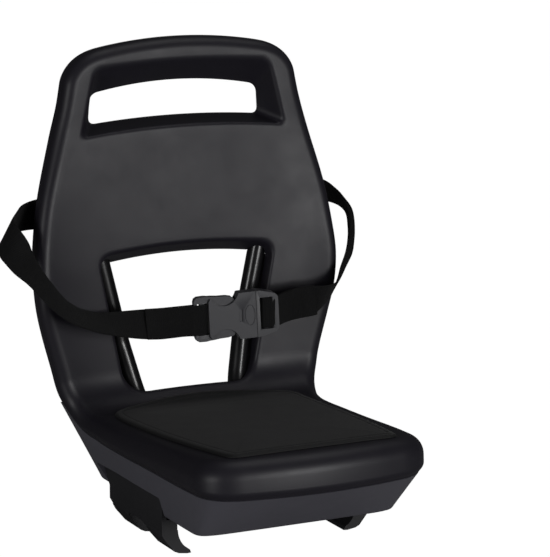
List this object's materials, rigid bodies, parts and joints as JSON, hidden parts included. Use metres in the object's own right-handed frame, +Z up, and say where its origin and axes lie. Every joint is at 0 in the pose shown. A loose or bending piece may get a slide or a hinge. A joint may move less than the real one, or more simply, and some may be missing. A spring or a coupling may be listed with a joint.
{
  "type": "rear_child_bike_seat",
  "caption": "Rear child bike seat with moulded shell, hand slot, seat pad, lap belt with side-release buckle and clamping hooks for a luggage carrier",
  "frame": {"origin": "On the middle plane, on the flat underside of the base tray where it rests on the carrier, near the middle of the tray's length", "axes": "+Z up, -Y is the way the child faces, +X is across the seat towards the clamp knob"},
  "size_m": [0.3224, 0.2875, 0.3782],
  "materials": {
    "shell_plastic": "fine grained dark grey polypropylene",
    "tray_plastic": "satin mid grey polypropylene",
    "hook_plastic": "satin dark grey glass-filled nylon",
    "pad_fabric": "thin dark grey padded fabric",
    "webbing": "black ribbed polyester webbing",
    "buckle_plastic": "satin dark grey acetal",
    "tube_paint": "gloss black powder coat on steel tube",
    "steel": "zinc plated",
    "black_plastic": "satin black nylon"
  },
  "bodies": {
    "seat": {"seat_shell": "shell_plastic", "seat_pad": "pad_fabric", "base_tray": "tray_plastic", "frame_tube": "tube_paint", "tube_plugs": "black_plastic", "back_saddle_left": "black_plastic", "back_saddle_right": "black_plastic", "base_saddle_front_left": "black_plastic", "base_saddle_front_right": "black_plastic", "base_saddle_rear_left": "black_plastic", "base_saddle_rear_right": "black_plastic", "saddle_screws": "steel", "shell_screws": "steel", "fixed_hooks": "hook_plastic", "fixed_hook_screws": "steel", "arm_keepers": "steel", "keeper_screws": "steel", "clamp_nut": "steel", "belt_left": "webbing", "belt_right": "webbing", "buckle_socket": "buckle_plastic"},
    "jaw": {"sliding_hooks": "hook_plastic"},
    "clamp": {"clamp_screw": "steel", "clamp_knob": "black_plastic", "clamp_washer": "steel", "clamp_clip": "steel"},
    "buckle": {"buckle_prongs": "buckle_plastic"}
  },
  "joints": [
    {"name": "jaw_slide", "type": "slide", "parent": "seat", "child": "jaw", "axis": [1, 0, 0], "range_m": [-0.008, 0.008]},
    {"name": "clamp_turn", "type": "hinge", "parent": "jaw", "child": "clamp", "pos_m": [0.0945, 0.0205, 0.0097], "axis": [1, 0, 0], "range_deg": [-1440, 1440]},
    {"name": "buckle_slide", "type": "slide", "parent": "seat", "child": "buckle", "axis": [-0.9835, 0.1734, -0.0523], "range_m": [0, 0.03], "deforming": ["belt_left"]}
  ],
  "couplings": [
    {"joint": "clamp_turn", "follows": "jaw_slide", "rad_per_m": 3141.6}
  ]
}
